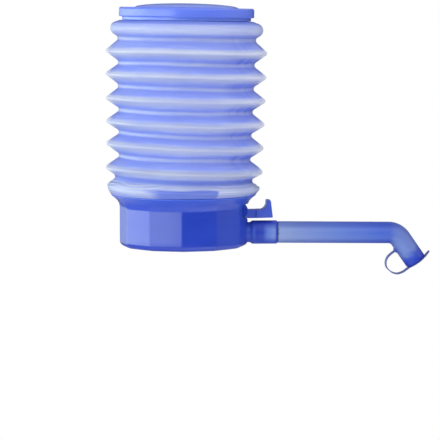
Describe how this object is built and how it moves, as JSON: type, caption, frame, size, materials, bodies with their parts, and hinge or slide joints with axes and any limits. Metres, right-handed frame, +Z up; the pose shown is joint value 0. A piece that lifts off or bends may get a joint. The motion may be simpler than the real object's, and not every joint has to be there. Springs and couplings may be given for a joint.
{
  "type": "water jug hand pump",
  "caption": "Hand pump for a water jug: ribbed bellows under a press cap, faceted collar that grips the neck, release lever, and a swivelling elbow spout with a strapped stopper.",
  "frame": {"origin": "centre of the mouth of the neck grip, in the plane of the collar's bottom face", "axes": "+Z up along the neck's axis and the press cap's stroke, +X along the spout, Y across"},
  "size_m": [0.1869, 0.091, 0.1547],
  "materials": {
    "housing": "glossy",
    "socket": "glossy",
    "lever": "glossy",
    "cap": "glossy",
    "bellows": "satin translucent",
    "spout": "satin translucent",
    "tip": "satin",
    "inner": "matte",
    "silicone": "matte",
    "seal": "matte",
    "steel": "bright"
  },
  "bodies": {
    "base": {"base_housing": "housing", "neck_grip": "inner", "neck_gasket": "seal", "valve_deck": "inner", "deck_seal": "seal", "outlet_duct": "inner", "vent_cover": "inner", "outlet_socket": "socket", "bellows": "bellows", "bellows_seal": "seal", "lever_pin": "steel", "lever_spring": "steel"},
    "press_head": {"press_cap": "cap", "intake_plate": "inner", "plate_seal": "seal"},
    "intake_valve": {"intake_valve": "silicone"},
    "delivery_valve": {"delivery_valve": "silicone"},
    "lever": {"release_lever": "lever", "vent_plug": "silicone"},
    "spout_seal": {"spout_o_ring": "seal"},
    "spout": {"spout": "spout", "strap_lug": "tip", "cap_strap": "tip"},
    "spout_cap": {"spout_cap": "tip"}
  },
  "joints": [
    {"name": "press_stroke", "type": "slide", "parent": "base", "child": "press_head", "axis": [0, 0, -1], "range_m": [0, 0.06], "stiffness_N_per_m": 400, "springref_m": -0.003, "deforming": ["bellows"]},
    {"name": "intake_lift", "type": "slide", "parent": "press_head", "child": "intake_valve", "axis": [0, 0, -1], "range_m": [0, 0.0012], "stiffness_N_per_m": 20, "springref_m": -0.001},
    {"name": "delivery_lift", "type": "slide", "parent": "base", "child": "delivery_valve", "axis": [0, 0, -1], "range_m": [0, 0.0012], "stiffness_N_per_m": 20, "springref_m": -0.001},
    {"name": "lever_pivot", "type": "hinge", "parent": "base", "child": "lever", "pos_m": [0.0344, 0, 0.0203], "axis": [0, 1, 0], "range_deg": [0, 5], "stiffness_Nm_per_rad": 0.05, "springref_deg": -8.59, "deforming": ["lever_spring"]},
    {"name": "spout_pull", "type": "slide", "parent": "base", "child": "spout_seal", "axis": [1, 0, 0], "range_m": [0, 0.014]},
    {"name": "spout_swivel", "type": "hinge", "parent": "spout_seal", "child": "spout", "pos_m": [0.0474, 0, 0.0075], "axis": [1, 0, 0], "continuous": true},
    {"name": "cap_pull", "type": "slide", "parent": "spout", "child": "spout_cap", "axis": [0.5736, 0, -0.8192], "range_m": [0, 0.009], "deforming": ["cap_strap"]}
  ]
}
